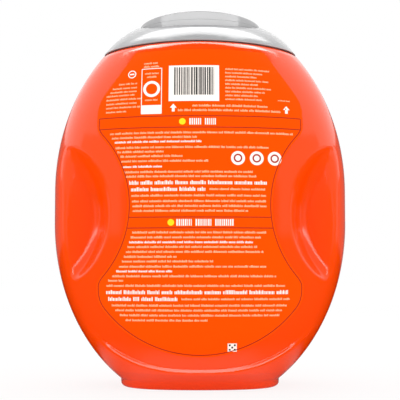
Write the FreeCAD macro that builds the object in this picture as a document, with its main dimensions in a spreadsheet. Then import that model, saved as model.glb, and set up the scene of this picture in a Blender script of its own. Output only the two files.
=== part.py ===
import FreeCAD, Part
import math
import os
import Sketcher

# Laundry pod tub: a blow-moulded oval tub with four finger scoops, a wrap label on its
# back and its front, and a collar snapped over its neck that carries a round flip lid on a moulded
# hinge and two push latches. Millimetres, +Z up, origin under the middle of the foot.
# The back, with the lid's hinge, faces -Y, and the latches and the thumb tab face +Y.

Vector = FreeCAD.Vector
doc = FreeCAD.newDocument("LaundryPodTub")

SIZES = [
    ("body_width", 247.2, "tub at its widest, left to right"),
    ("body_depth", 190.0, "tub at its widest, front to back"),
    ("belly_low", 137.0, "height where the straight belly starts"),
    ("belly_high", 163.5, "height where the straight belly ends"),
    ("body_square", 0.035, "how square the body's oval is, 0 for an ellipse"),
    ("rim_square", -0.019, "the same at the shoulder, where the oval is lean"),
    ("shoulder_height", 280.6, "height of the tub's shoulder"),
    ("shoulder_width", 165.6, "tub at its shoulder, left to right"),
    ("shoulder_depth", 145.0, "tub at its shoulder, front to back"),
    ("shoulder_round", 1.5, "rounding of the shoulder's edge"),
    ("crease_height", 17.0, "height where the front and back tuck in"),
    ("crease_depth", 134.0, "tub at that crease, front to back"),
    ("foot_height", 6.5, "height of the foot ring"),
    ("foot_width", 133.6, "foot ring, left to right"),
    ("foot_depth", 107.0, "foot ring, front to back"),
    ("foot_round", 3.0, "rounding of the foot's lower edge"),
    ("foot_land", 9.0, "width of the ring that the tub stands on"),
    ("base_rise", 3.0, "how far the base is pushed up inside the foot"),
    ("tub_wall", 1.2, "wall of the tub"),
    ("neck_height", 5.0, "neck above the shoulder"),
    ("neck_width", 150.0, "neck outside, left to right"),
    ("neck_depth", 128.0, "neck outside, front to back"),
    ("neck_wall", 1.6, "wall of the neck"),
    ("scoop_reach", 138.2, "scoop's middle, out from the tub's middle"),
    ("scoop_level", 140.0, "height of the scoop's middle"),
    ("scoop_radius", 60.5, "radius of the scoop's floor"),
    ("scoop_flare", 13.0, "how much wider the scoop is at its mouth end"),
    ("scoop_length", 50.0, "length over which it widens"),
    ("scoop_floor", 106.0, "distance between the floors of facing scoops"),
    ("scoop_cove", 6.0, "cove between the scoop's floor and its wall"),
    ("label_glue", 0.2, "glue between the tub and a label"),
    ("label_film", 0.3, "thickness of a label"),
    ("label_top", 273.0, "height of a label's top edge"),
    ("label_top_width", 104.0, "label at its top edge"),
    ("label_width", 164.0, "label at its widest"),
    ("label_slant_end", 230.0, "height where the slanted upper edge ends"),
    ("label_bottom", 28.0, "height of a label's lowest point"),
    ("label_sweep", 98.0, "radius of a label's lower edge"),
    ("label_waist_level", 147.0, "height of the middle of a label's waist"),
    ("label_waist_gap", 10.0, "bare wall between a scoop and a label"),
    ("label_corner", 7.0, "rounding of a label's corners"),
    ("collar_gap", 0.8, "gap between the shoulder and the collar's edge"),
    ("collar_width", 166.8, "collar at its edge, left to right"),
    ("collar_depth", 146.0, "collar at its edge, front to back"),
    ("collar_band", 2.0, "upright band at the collar's edge"),
    ("collar_rise", 21.5, "rise of the sloping collar above its band"),
    ("collar_top_width", 108.6, "top of the slope, left to right"),
    ("collar_top_depth", 91.5, "top of the slope, front to back"),
    ("collar_round", 3.5, "rounding between the band and the slope"),
    ("collar_wall", 2.0, "wall of the collar"),
    ("collar_slope_drop", 1.2, "inside of the sloping collar below its outside"),
    ("snap_clearance", 0.3, "gap between the neck and the collar's snap skirt"),
    ("snap_wall", 1.6, "wall of the snap skirt"),
    ("well_radius", 54.5, "round well in the collar that the lid stands in"),
    ("well_floor", 293.0, "height of the well's floor"),
    ("well_edge", 0.8, "rounding of the well's upper edge"),
    ("turret_radius", 51.7, "outside of the round turret and of the lid"),
    ("turret_wall", 1.8, "wall of the turret and of the lid's skirt"),
    ("turret_top", 303.0, "height of the turret's upper edge"),
    ("mouth_radius", 42.4, "mouth of the collar"),
    ("mouth_wall", 1.8, "wall of the lip round the mouth"),
    ("mouth_lip", 3.0, "lip above the well's floor"),
    ("lid_gap", 0.4, "gap between the turret and the lid"),
    ("lid_top", 306.3, "height of the lid's flat front half"),
    ("lid_rear_sweep", 338.0, "radius at which the lid's rear half rises"),
    ("lid_plate", 2.0, "thickness of the lid's top"),
    ("lid_edge", 0.9, "rounding of the lid's upper edge"),
    ("plug_clearance", 0.4, "gap between the mouth and the lid's plug"),
    ("plug_wall", 1.6, "wall of the lid's plug"),
    ("plug_depth", 9.0, "plug below the lid's gap"),
    ("tab_width", 34.0, "thumb tab, left to right"),
    ("tab_reach", 6.5, "thumb tab beyond the lid's wall"),
    ("tab_thickness", 2.0, "thickness of the thumb tab"),
    ("tab_corner", 4.0, "rounding of the thumb tab's corners"),
    ("latch_turn", 28.0, "angle of each latch from the front, in degrees"),
    ("latch_width", 16.0, "face of a latch button, left to right"),
    ("latch_face_height", 5.0, "face of a latch button, up and down"),
    ("latch_below_seam", 1.2, "turret wall left above a latch button"),
    ("latch_depth", 6.3, "button from its face to its back"),
    ("latch_proud", 0.8, "button's face beyond the turret's wall"),
    ("latch_clearance", 0.4, "gap round a latch button"),
    ("latch_edge", 0.6, "rounding of the button's face"),
    ("hook_width", 8.0, "latch hook, left to right"),
    ("hook_thickness", 1.6, "thickness of the latch hook"),
    ("hook_rise", 1.4, "hook above the button"),
]

sheet = doc.addObject("Spreadsheet::Sheet", "Sizes")
for row, (alias, value, note) in enumerate(SIZES, start=1):
    sheet.set(f"A{row}", note)
    sheet.set(f"B{row}", str(value))
    sheet.setAlias(f"B{row}", alias)
doc.recompute()


def size(alias):
    return float(sheet.get(alias))


def bind(obj, **formulas):
    """Ties an object's properties to the sheet; a name alone stands for a cell."""
    for path, formula in formulas.items():
        obj.setExpression(path.replace("__", "."), formula)
    return obj


def primitive(kind, name, **formulas):
    return bind(doc.addObject("Part::" + kind, name), **formulas)


def cylinder(name, radius, bottom, top):
    """An upright cylinder on the tub's axis between two heights."""
    return primitive("Cylinder", name, Radius=radius, Height=f"({top}) - ({bottom})",
                     Placement__Base__z=bottom)


def block(name, length, width, height, left, front, bottom):
    """A box with its lowest corner at left, front, bottom (X, Y and Z)."""
    return primitive("Box", name, Length=length, Width=width, Height=height,
                     Placement__Base__x=left, Placement__Base__y=front,
                     Placement__Base__z=bottom)


def fuse(name, *parts):
    result = doc.addObject("Part::MultiFuse", name)
    result.Shapes = list(parts)
    return result


def common(name, *parts):
    result = doc.addObject("Part::MultiCommon", name)
    result.Shapes = list(parts)
    return result


def cut(name, base, tool):
    result = doc.addObject("Part::Cut", name)
    result.Base = base
    result.Tool = tool
    return result


def rounded(name, base, radius, wanted):
    """A Part::Fillet on the edges of base that wanted() picks."""
    doc.recompute()
    result = doc.addObject("Part::Fillet", name)
    result.Base = base
    numbers = [i + 1 for i, edge in enumerate(base.Shape.Edges) if wanted(edge)]
    result.Edges = [(number, radius, radius) for number in numbers]
    return result


def solid(name, shape):
    result = doc.addObject("Part::Feature", name)
    result.Shape = shape
    result.Placement = FreeCAD.Placement()
    return result


# Ovals and the tub's profile

OVAL_POINTS = 24
# Where the tub's sections lie, as shares of the foot's cone, the lower and the upper bulge
FOOT_SHARES = (0, 0.5, 0.9)
LOWER_SHARES = (0.04, 0.16, 0.36, 0.66)
UPPER_SHARES = (0.3, 0.6, 0.82, 1)
# How far a cutting shape runs past what it cuts
PAST = 1


def oval(half_width, half_depth, square, height):
    """A closed smooth outline, from a lean oval (square < 0) to a squarish one."""
    points = []
    for i in range(OVAL_POINTS):
        turn = 2 * math.pi * i / OVAL_POINTS
        across = (math.cos(turn) - square * math.cos(3 * turn)) / (1 - square)
        along = (math.sin(turn) + square * math.sin(3 * turn)) / (1 - square)
        points.append(Vector(half_width * across, half_depth * along, height))
    curve = Part.BSplineCurve()
    knots = [float(i) for i in range(OVAL_POINTS + 1)]
    curve.interpolate(Points=points, PeriodicFlag=True, Parameters=knots)
    return Part.Wire([curve.toShape()])


def loft(sections, ruled=False):
    return Part.makeLoft(sections, True, ruled)


def bulge(full, end, belly, end_height, height):
    """Half size at a height on an elliptic arc from full at the belly to end."""
    reach = abs(end_height - belly) / math.sqrt(1 - (end / full) ** 2)
    return full * math.sqrt(1 - ((height - belly) / reach) ** 2)


def tub_half_width(height):
    full = size("body_width") / 2
    if height > size("belly_high"):
        end, top = size("shoulder_width") / 2, size("shoulder_height")
        return bulge(full, end, size("belly_high"), top, height)
    if height < size("belly_low"):
        end, low = size("foot_width") / 2, size("foot_height")
        return bulge(full, end, size("belly_low"), low, height)
    return full


def tub_half_depth(height):
    full = size("body_depth") / 2
    if height > size("belly_high"):
        end, top = size("shoulder_depth") / 2, size("shoulder_height")
        return bulge(full, end, size("belly_high"), top, height)
    crease, low = size("crease_height"), size("foot_height")
    crease_half, foot_half = size("crease_depth") / 2, size("foot_depth") / 2
    if height < crease:
        return foot_half + (crease_half - foot_half) * (height - low) / (crease - low)
    if height < size("belly_low"):
        return bulge(full, crease_half, size("belly_low"), crease, height)
    return full


def tub_square(height):
    """The oval turns lean over the upper half of the tub."""
    start, top = size("belly_high"), size("shoulder_height")
    share = min(max((height - start) / (top - start), 0), 1)
    return size("body_square") + (size("rim_square") - size("body_square")) * share ** 2


def section_heights():
    low, crease, start = size("foot_height"), size("crease_height"), size("belly_low")
    end, top = size("belly_high"), size("shoulder_height")
    heights = [low + (crease - low) * share for share in FOOT_SHARES]
    heights += [crease + (start - crease) * share for share in LOWER_SHARES]
    heights += [start, (start + end) / 2, end]
    heights += [end + (top - end) * share for share in UPPER_SHARES]
    return heights


def steepness(half, height, step=0.2):
    """How far the wall leans, to turn a wall thickness into a sideways distance."""
    low = max(height - step, size("foot_height"))
    high = min(height + step, size("shoulder_height"))
    return math.hypot(1, (half(high) - half(low)) / (high - low))


def tub_loft(grow, lowest=None, highest=None):
    """The tub's plain form, grown (or shrunk) by a wall measured square to it."""
    heights = section_heights()
    if lowest is not None:
        heights = [lowest] + [h for h in heights if h > lowest + PAST]
    if highest is not None:
        heights = [h for h in heights if h < highest - PAST] + [highest]
    sections = []
    for height in heights:
        wide = tub_half_width(height) + grow * steepness(tub_half_width, height)
        deep = tub_half_depth(height) + grow * steepness(tub_half_depth, height)
        sections.append(oval(wide, deep, tub_square(height), height))
    return loft(sections)


def scoops(grow):
    """The four finger scoops as solids, larger by grow on every side."""
    length = size("scoop_length")
    draft = size("scoop_flare") / length
    floor = size("scoop_floor") / 2 - grow
    radius = size("scoop_radius") + grow - draft * grow
    wide = radius + draft * (length + grow)
    for_side = []
    for side in (-1, 1):
        for face in (-1, 1):
            middle = Vector(side * size("scoop_reach"), face * floor, size("scoop_level"))
            tool = Part.makeCone(radius, wide, length + grow, middle, Vector(0, face, 0))
            inner_rim = [e for e in tool.Edges if e.BoundBox.YLength < 0.01
                         and abs(abs(e.BoundBox.Center.y) - floor) < 0.01]
            for_side.append(tool.makeFillet(size("scoop_cove") + grow, inner_rim))
    return for_side


# Tub body

def make_tub():
    wall, neck_wall = size("tub_wall"), size("neck_wall")
    foot_wide, foot_deep = size("foot_width") / 2, size("foot_depth") / 2
    low, top = size("foot_height"), size("shoulder_height")
    square, rim = size("body_square"), size("rim_square")
    foot = loft([oval(foot_wide, foot_deep, square, 0), oval(foot_wide, foot_deep, square, low)])
    foot = foot.makeFillet(size("foot_round"), [e for e in foot.Edges if e.BoundBox.ZMax < 0.01])
    body = tub_loft(0)
    body = body.makeFillet(size("shoulder_round"),
                           [e for e in body.Edges if e.BoundBox.ZMin > top - 0.01])
    body = body.cut(scoops(0))
    neck_wide, neck_deep = size("neck_width") / 2, size("neck_depth") / 2
    neck_top = top + size("neck_height")
    neck = loft([oval(neck_wide, neck_deep, rim, top - wall),
                 oval(neck_wide, neck_deep, rim, neck_top)])
    outside = body.fuse([foot, neck])

    floor = size("base_rise") + wall
    inside = tub_loft(-wall, lowest=low + wall, highest=top - wall)
    inside = inside.cut(scoops(wall))
    well_wide, well_deep = foot_wide - size("foot_land") / 2, foot_deep - size("foot_land") / 2
    sump = loft([oval(well_wide, well_deep, square, floor),
                 oval(well_wide, well_deep, square, low + wall + PAST)])
    mouth = loft([oval(neck_wide - neck_wall, neck_deep - neck_wall, rim, top - 2 * wall),
                  oval(neck_wide - neck_wall, neck_deep - neck_wall, rim, neck_top + PAST)])
    land = size("foot_land")
    rise = size("base_rise")
    push_up = loft([oval(foot_wide - land, foot_deep - land, square, -PAST),
                    oval(foot_wide - land, foot_deep - land, square, rise)])
    hollow = inside.fuse(sump)
    shell = Part.makeSolid(Part.Compound([outside.Shells[0], hollow.Shells[0].reversed()]))
    return shell.cut([mouth, push_up])


# Labels

def label_outline(face):
    """A label's outline as a solid through one face of the tub (face -1 is the back)."""
    top, bottom, sweep = size("label_top"), size("label_bottom"), size("label_sweep")
    half_top, half = size("label_top_width") / 2, size("label_width") / 2
    corners = [(-half_top, top), (half_top, top), (half, size("label_slant_end")), (half, bottom),
               (-half, bottom), (-half, size("label_slant_end"))]
    points = [Vector(x, 0, z) for x, z in corners]
    sheet_face = Part.Face(Part.makePolygon(points + points[:1]))
    through = Vector(0, face * size("body_depth"), 0)
    outline = sheet_face.extrude(through)
    axis = Vector(0, face, 0)
    depth = size("body_depth")
    disc = Part.makeCylinder(sweep, depth, Vector(0, 0, bottom + sweep), axis)
    upper = Part.makeBox(2 * half, depth, top, Vector(-half, min(0, face * depth), bottom + sweep))
    outline = outline.common(disc.fuse(upper))
    flare_share = (depth - size("scoop_floor")) / 2 / size("scoop_length")
    waist = size("scoop_radius") + size("scoop_flare") * flare_share + size("label_waist_gap")
    for side in (-1, 1):
        middle = Vector(side * size("scoop_reach"), 0, size("label_waist_level"))
        outline = outline.cut(Part.makeCylinder(waist, depth, middle, axis))
    outline = outline.removeSplitter()
    along = [e for e in outline.Edges if e.BoundBox.YLength > depth - 0.01
             and e.BoundBox.ZLength < 0.01]
    return outline.makeFillet(size("label_corner"), along)


def make_label(face):
    patch = tub_loft(size("label_glue")).common(label_outline(face))
    skin = max(patch.Faces, key=lambda part: part.Area)
    return skin.makeOffsetShape(size("label_film"), 0.01, fill=True)


# Collar

def collar_edge_height():
    return size("shoulder_height") + size("collar_gap")


def collar_form(inset, lift):
    """The collar's upright band and its slope, inset sideways and moved in height."""
    low = collar_edge_height() + lift
    band_top = collar_edge_height() + size("collar_band") + lift
    wide, deep = size("collar_width") / 2 - inset, size("collar_depth") / 2 - inset
    top_wide, top_deep = size("collar_top_width") / 2 - inset, size("collar_top_depth") / 2 - inset
    rim = size("rim_square")
    form = loft([oval(wide, deep, rim, low), oval(wide, deep, rim, band_top),
                 oval(top_wide, top_deep, rim, band_top + size("collar_rise"))], ruled=True)
    corner = [e for e in form.Edges if e.BoundBox.ZLength < 0.01
              and abs(e.BoundBox.ZMin - band_top) < 0.01]
    return form.makeFillet(size("collar_round"), corner)


def make_collar_shell():
    """The sloping shell with the round well let into it."""
    wall, floor = size("collar_wall"), size("well_floor")
    top = collar_edge_height() + size("collar_band") + size("collar_rise") + PAST
    outer = collar_form(0, 0)
    well = Part.makeCylinder(size("well_radius"), top - floor, Vector(0, 0, floor))
    outer = outer.cut(well)
    radius = size("well_radius")
    lip = [e for e in outer.Edges if e.BoundBox.ZMin > floor and e.BoundBox.ZLength > PAST
           and max(e.BoundBox.XMax, e.BoundBox.YMax, -e.BoundBox.XMin, -e.BoundBox.YMin)
           < radius + 0.01]
    outer = outer.makeFillet(size("well_edge"), lip)
    inner = collar_form(wall, -size("collar_slope_drop"))
    keep = Part.makeCylinder(size("well_radius") + wall, top, Vector(0, 0, floor - wall))
    return outer.cut(inner.cut(keep))


def make_snap_skirt():
    """The ring inside the collar that grips the neck and stands on the shoulder."""
    clearance, thick, rim = size("snap_clearance"), size("snap_wall"), size("rim_square")
    low = size("shoulder_height")
    high = low + size("neck_height") + size("collar_wall")
    wide, deep = size("neck_width") / 2 + clearance, size("neck_depth") / 2 + clearance
    grip = [oval(wide, deep, rim, z) for z in (low - PAST, high + PAST)]
    skin = [oval(wide + thick, deep + thick, rim, z) for z in (low, high)]
    return loft(skin).cut(loft(grip))


# Sub-parts in the document

def name_part(obj, label):
    obj.Label = label
    return obj


tub_body = name_part(solid("TubBody", make_tub()), "tub_body")
back_label = name_part(solid("BackLabel", make_label(-1)), "back_label")
front_label = name_part(solid("FrontLabel", make_label(1)), "front_label")


# Collar: shell, snap skirt, round turret, mouth lip, and a window for each latch

collar_shell = solid("CollarShell", make_collar_shell())
snap_skirt = solid("SnapSkirt", make_snap_skirt())
well_under = "Sizes.well_floor - Sizes.collar_wall"
turret = cut("Turret",
             cylinder("TurretOuter", "Sizes.turret_radius", well_under, "Sizes.turret_top"),
             cylinder("TurretInner", "Sizes.turret_radius - Sizes.turret_wall",
                      "Sizes.well_floor", f"Sizes.turret_top + {PAST}"))
lip_outer = cylinder("LipOuter", "Sizes.mouth_radius + Sizes.mouth_wall", well_under,
                     "Sizes.well_floor + Sizes.mouth_lip")
mouth = cylinder("Mouth", "Sizes.mouth_radius", "Sizes.shoulder_height",
                 f"Sizes.turret_top + {PAST}")
collar_solid = fuse("CollarSolid", collar_shell, snap_skirt, turret, lip_outer)

button_top = "(Sizes.turret_top - Sizes.latch_below_seam)"
button_bottom = f"({button_top} - Sizes.latch_face_height)"
button_back = "(Sizes.turret_radius + Sizes.latch_proud - Sizes.latch_depth)"


def latch_place(side):
    """Turns a piece made at the middle of the front to the latch on that side."""
    return FreeCAD.Placement(Vector(), FreeCAD.Rotation(Vector(0, 0, 1), -side * size("latch_turn")))


def latch_window(name, side):
    """The window in the turret's front wall that a latch button slides through."""
    wide = "(Sizes.latch_width + 2 * Sizes.latch_clearance)"
    high = "Sizes.latch_face_height + 2 * Sizes.latch_clearance"
    opening = block(name + "Block", wide, "3 * Sizes.turret_wall", high, f"-{wide} / 2",
                    "Sizes.turret_radius - 2 * Sizes.turret_wall",
                    f"{button_bottom} - Sizes.latch_clearance")
    window = doc.addObject("Part::Compound", name)
    window.Links = [opening]
    window.Placement = latch_place(side)
    return window


windows = [latch_window("LeftWindow", -1), latch_window("RightWindow", 1)]
collar_cuts = fuse("CollarCuts", mouth, *windows)
lid_collar = name_part(cut("LidCollar", collar_solid, collar_cuts), "lid_collar")


# Flip lid: a cap whose rear half rises, with a plug for the mouth and a thumb tab

lid_bottom = "(Sizes.turret_top + Sizes.lid_gap)"
lid_ceiling = "Sizes.lid_top + Sizes.turret_radius"


def above_lid(name, drop):
    """Everything above the lid's top surface, lowered by drop."""
    sweep = primitive("Cylinder", name + "Sweep",
                      Radius=f"Sizes.lid_rear_sweep + {drop}", Height="3 * Sizes.turret_radius",
                      Placement__Base__x="-1.5 * Sizes.turret_radius",
                      Placement__Base__z="Sizes.lid_top + Sizes.lid_rear_sweep")
    sweep.Placement.Rotation = FreeCAD.Rotation(Vector(0, 1, 0), 90)
    flat = block(name + "Flat", "3 * Sizes.turret_radius", "2 * Sizes.turret_radius",
                 "2 * Sizes.turret_radius", "-1.5 * Sizes.turret_radius", "0",
                 f"Sizes.lid_top - {drop}")
    return fuse(name, sweep, flat)


lid_form = cut("LidForm", cylinder("LidBlank", "Sizes.turret_radius", lid_bottom, lid_ceiling),
               above_lid("AboveLid", "0"))


def top_edge(edge):
    box = edge.BoundBox
    return box.ZMin > size("lid_top") - 0.05 and edge.Length > size("turret_radius") * 2


lid_outside = rounded("LidOutside", lid_form, size("lid_edge"), top_edge)
lid_hollow = cut("LidHollow",
                 cylinder("HollowBlank", "Sizes.turret_radius - Sizes.turret_wall",
                          f"{lid_bottom} - {PAST}", lid_ceiling),
                 above_lid("AboveHollow", "Sizes.lid_plate"))
lid_cap = cut("LidCap", lid_outside, lid_hollow)
plug_radius = "(Sizes.mouth_radius - Sizes.plug_clearance)"
plug_bottom = f"({lid_bottom} - Sizes.plug_depth)"
plug_bore = cylinder("PlugBore", f"{plug_radius} - Sizes.plug_wall",
                     f"{plug_bottom} - {PAST}", lid_ceiling)
plug_tube = cut("PlugTube", cylinder("PlugBlank", plug_radius, plug_bottom, lid_ceiling),
                plug_bore)
plug = cut("Plug", plug_tube, above_lid("AbovePlug", "Sizes.lid_plate / 2"))
tab_blank = block("TabBlank", "Sizes.tab_width", "Sizes.tab_reach + Sizes.turret_wall * 2",
                  "Sizes.tab_thickness", "-Sizes.tab_width / 2",
                  "Sizes.turret_radius - Sizes.turret_wall * 2", lid_bottom)


def tab_corner(edge):
    box = edge.BoundBox
    return box.ZLength > size("tab_thickness") - 0.01 and box.YMin > size("turret_radius")


tab = rounded("ThumbTab", tab_blank, size("tab_corner"), tab_corner)
tab_room = cylinder("TabRoom", "Sizes.turret_radius - Sizes.turret_wall / 2",
                    f"{lid_bottom} - {PAST}", lid_ceiling)
thumb_tab = cut("ThumbTabOutside", tab, tab_room)
flip_lid = name_part(fuse("FlipLid", lid_cap, plug, thumb_tab), "flip_lid")


# Latches: a button in the turret's wall with a hook that stands up inside the lid

def make_latch(name, side):
    body = doc.addObject("PartDesign::Body", name + "Blank")
    plane = next(p for p in body.Origin.OriginFeatures if p.Role == "XY_Plane")

    def pad_of_rectangle(title, width, near, far, bottom, height):
        """A pad from a rectangle centred on the latch, from near to far along Y."""
        sketch = body.newObject("Sketcher::SketchObject", name + title + "Sketch")
        sketch.AttachmentSupport = [(plane, "")]
        sketch.MapMode = "FlatFace"
        corners = [Vector(0, 0, 0), Vector(1, 0, 0), Vector(1, 1, 0), Vector(0, 1, 0)]
        for first, second in zip(corners, corners[1:] + corners[:1]):
            sketch.addGeometry(Part.LineSegment(first, second))
        for line in range(4):
            sketch.addConstraint(Sketcher.Constraint("Coincident", line, 2, (line + 1) % 4, 1))
        for line, direction in enumerate(("Horizontal", "Vertical", "Horizontal", "Vertical")):
            sketch.addConstraint(Sketcher.Constraint(direction, line))
        named = [("left", "DistanceX", f"({width}) / 2", (0, 1, -1, 1)),
                 ("wide", "DistanceX", width, (0, 1, 0, 2)),
                 ("near", "DistanceY", near, (-1, 1, 0, 1)),
                 ("deep", "DistanceY", f"({far}) - ({near})", (1, 1, 1, 2))]
        for label, kind, formula, ends in named:
            index = sketch.addConstraint(Sketcher.Constraint(kind, *ends, 1.0))
            sketch.renameConstraint(index, label)
            sketch.setExpression("Constraints." + label, formula)
        sketch.setExpression("AttachmentOffset.Base.z", bottom)
        pad = body.newObject("PartDesign::Pad", name + title)
        pad.Profile = sketch
        pad.setExpression("Length", height)
        return pad

    pad_of_rectangle("Button", "Sizes.latch_width", button_back,
                     "Sizes.turret_radius + Sizes.latch_depth", button_bottom,
                     "Sizes.latch_face_height")
    pad_of_rectangle("Hook", "Sizes.hook_width", button_back,
                     f"{button_back} + Sizes.hook_thickness", button_bottom,
                     "Sizes.latch_face_height + Sizes.hook_rise")
    face = cylinder(name + "Face", "Sizes.turret_radius + Sizes.latch_proud",
                    f"{button_bottom} - {PAST}", "Sizes.turret_top + Sizes.lid_plate")
    latch = common(name + "Trimmed", body, face)

    def face_edge(edge):
        box = edge.BoundBox
        return box.YMax > size("turret_radius") and box.YMin > size("turret_radius") - 1

    button = rounded(name, latch, size("latch_edge"), face_edge)
    button.Placement = latch_place(side)
    return button


left_latch = name_part(make_latch("LeftLatch", -1), "left_latch_button")
right_latch = name_part(make_latch("RightLatch", 1), "right_latch_button")

SUB_PARTS = [tub_body, back_label, front_label, lid_collar, flip_lid, left_latch, right_latch]


# Checks and export

def check_and_export():
    doc.recompute()
    for obj in doc.Objects:
        if "Invalid" in obj.State or "Error" in obj.State:
            raise RuntimeError(f"{obj.Label} failed: {obj.State}")
    for part in SUB_PARTS:
        if part.Shape.isNull() or not part.Shape.isValid():
            raise RuntimeError(f"{part.Label} has no valid shape")
    os.makedirs("parts", exist_ok=True)
    for part in SUB_PARTS:
        part.Shape.exportStep(f"parts/{part.Label}.step")
        box = part.Shape.BoundBox
        print(f"{part.Label}: {len(part.Shape.Solids)} solid, {part.Shape.Volume / 1000:.1f} cm3, "
              f"{box.XLength:.1f} x {box.YLength:.1f} x {box.ZLength:.1f} mm")


check_and_export()
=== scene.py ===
import math
import random

import bpy
import numpy as np
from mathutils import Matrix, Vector


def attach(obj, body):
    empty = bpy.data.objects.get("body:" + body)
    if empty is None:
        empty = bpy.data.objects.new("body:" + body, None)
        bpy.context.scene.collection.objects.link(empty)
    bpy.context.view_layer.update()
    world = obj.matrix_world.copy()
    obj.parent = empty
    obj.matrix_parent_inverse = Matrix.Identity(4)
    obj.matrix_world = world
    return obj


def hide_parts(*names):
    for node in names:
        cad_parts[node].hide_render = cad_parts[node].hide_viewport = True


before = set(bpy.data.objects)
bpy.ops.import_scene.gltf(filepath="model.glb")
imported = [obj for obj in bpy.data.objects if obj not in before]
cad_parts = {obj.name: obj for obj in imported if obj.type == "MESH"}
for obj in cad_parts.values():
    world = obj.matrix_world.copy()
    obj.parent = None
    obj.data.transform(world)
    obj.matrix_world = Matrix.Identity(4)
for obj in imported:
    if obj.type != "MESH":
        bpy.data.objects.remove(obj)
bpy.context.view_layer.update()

MM = 0.001

# The tub's form, in millimetres: the sizes of the part's own source, and the wall's finer relief

BODY_WIDTH = 247.2
BODY_DEPTH = 190.0
BELLY_LOW = 137.0
BELLY_HIGH = 163.5
BODY_SQUARE = 0.035
RIM_SQUARE = -0.019
SHOULDER_HEIGHT = 280.6
SHOULDER_WIDTH = 165.6
SHOULDER_DEPTH = 145.0
SHOULDER_ROUND = 2.2
CREASE_HEIGHT = 14.2
CREASE_DEPTH = 132.0
FOOT_HEIGHT = 6.5
FOOT_WIDTH = 133.6
FOOT_DEPTH = 107.0
FOOT_ROUND = 3.5
FOOT_LAND = 9.0
FOOT_LAND_SLANT = 0.6
FLARE_LOW = 2.0
FLARE_CURVE = 1.15
BASE_RISE = 3.0
TUB_WALL = 1.2
NECK_HEIGHT = 5.0
NECK_WIDTH = 150.0
NECK_DEPTH = 128.0
NECK_WALL = 1.6
NECK_EASE = 0.4
SCOOP_REACH = 138.2
SCOOP_LEVEL = 140.0
SCOOP_RADIUS = 60.5
SCOOP_STRETCH = 1.1
SCOOP_FLOOR = 53.0
SCOOP_COVE = 11.0
SCOOP_STEEPNESS = 50 / 13
SCOOP_EDGES = ((85.0, 5.0), (140.0, 7.0), (195.0, 16.0))
SCOOP_SPAN = (66.0, 216.0)
LEDGE_LOW = 15.9
LEDGE_CLIMB = 25.5
LEDGE_REACH = 81.0
LEDGE_CURVE = 2.6
LEDGE_SLOPE = 0.78
LEDGE_SIDE_SLOPE = 0.36
LEDGE_SIDE_REACH = 80.0
LEDGE_SIDE_CURVE = 1.5
LEDGE_FALL = 4.4
LEDGE_ROUNDING = 0.3
LEDGE_FADE = 16.0
LEDGE_HALF = 96.0
LEDGE_END = 24.0
LABEL_TOP = 273.0
LABEL_TOP_HALF = 52.0
LABEL_HALF = 82.0
LABEL_SLANT_END = 230.0
LABEL_BOTTOM = 28.0
LABEL_SWEEP = 98.0
LABEL_WAIST = 81.4
LABEL_WAIST_LEVEL = 147.0
LABEL_SHOULDER_ROUND = 6.0
LABEL_WAIST_ROUND = 5.0


def bulge(full, end, belly, end_height, height):
    """Width of an elliptic flank that falls from full at the belly to end at its end height."""
    reach = abs(end_height - belly) / math.sqrt(1 - (end / full) ** 2)
    share = np.clip((height - belly) / reach, -1, 1)
    return full * np.sqrt(1 - share ** 2)


def half_width(z):
    """Half of the tub's width at a height."""
    full = BODY_WIDTH / 2
    upper = bulge(full, SHOULDER_WIDTH / 2, BELLY_HIGH, SHOULDER_HEIGHT, z)
    lower = bulge(full, FOOT_WIDTH / 2, BELLY_LOW, FOOT_HEIGHT, z)
    return np.where(z > BELLY_HIGH, upper, np.where(z < BELLY_LOW, lower, full))


def half_depth(z):
    """Half of the tub's depth at a height, with the flared foot below the crease."""
    full = BODY_DEPTH / 2
    upper = bulge(full, SHOULDER_DEPTH / 2, BELLY_HIGH, SHOULDER_HEIGHT, z)
    lower = bulge(full, CREASE_DEPTH / 2, BELLY_LOW, CREASE_HEIGHT, z)
    up = np.clip((z - FLARE_LOW) / (CREASE_HEIGHT - FLARE_LOW), 0, 1)
    flare = FOOT_DEPTH / 2 + (CREASE_DEPTH - FOOT_DEPTH) / 2 * up ** FLARE_CURVE
    lower = np.where(z < CREASE_HEIGHT, flare, lower)
    return np.where(z > BELLY_HIGH, upper, np.where(z < BELLY_LOW, lower, full))


def squareness(z):
    """How far the oval leans towards a rectangle, or below 0 towards a rhombus."""
    share = np.clip((z - BELLY_HIGH) / (SHOULDER_HEIGHT - BELLY_HIGH), 0, 1)
    return BODY_SQUARE + (RIM_SQUARE - BODY_SQUARE) * share ** 2


def oval_x(half, square, turn):
    return half * (np.cos(turn) - square * np.cos(3 * turn)) / (1 - square)


def oval_y(half, square, turn):
    return half * (np.sin(turn) + square * np.sin(3 * turn)) / (1 - square)


def soft_min(a, b, width):
    """The lesser of two values, rounded over a width where they meet."""
    share = np.clip(0.5 + 0.5 * (b - a) / width, 0, 1)
    return b * (1 - share) + a * share - width * share * (1 - share)


def scoop_face(x, z, grow=0.0):
    """Distance of a scoop's floor, cove and wall from the plane between front and back."""
    cove, radius = SCOOP_COVE + grow, SCOOP_RADIUS + grow
    drop = (z - SCOOP_LEVEL) / SCOOP_STRETCH
    out = np.maximum(np.hypot(np.abs(x) - SCOOP_REACH, drop) - (radius - cove), 0)
    turn_over = cove * SCOOP_STEEPNESS / math.hypot(1, SCOOP_STEEPNESS)
    bend = cove - np.sqrt(cove ** 2 - np.minimum(out, turn_over) ** 2)
    return SCOOP_FLOOR - grow + bend + SCOOP_STEEPNESS * np.maximum(out - turn_over, 0)


def steepness(half, z, step=0.2):
    """What a wall's distance grows to where the flank leans."""
    low = np.maximum(z - step, FOOT_HEIGHT)
    high = np.minimum(z + step, SHOULDER_HEIGHT)
    return np.hypot(1, (half(high) - half(low)) / (high - low))


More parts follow.
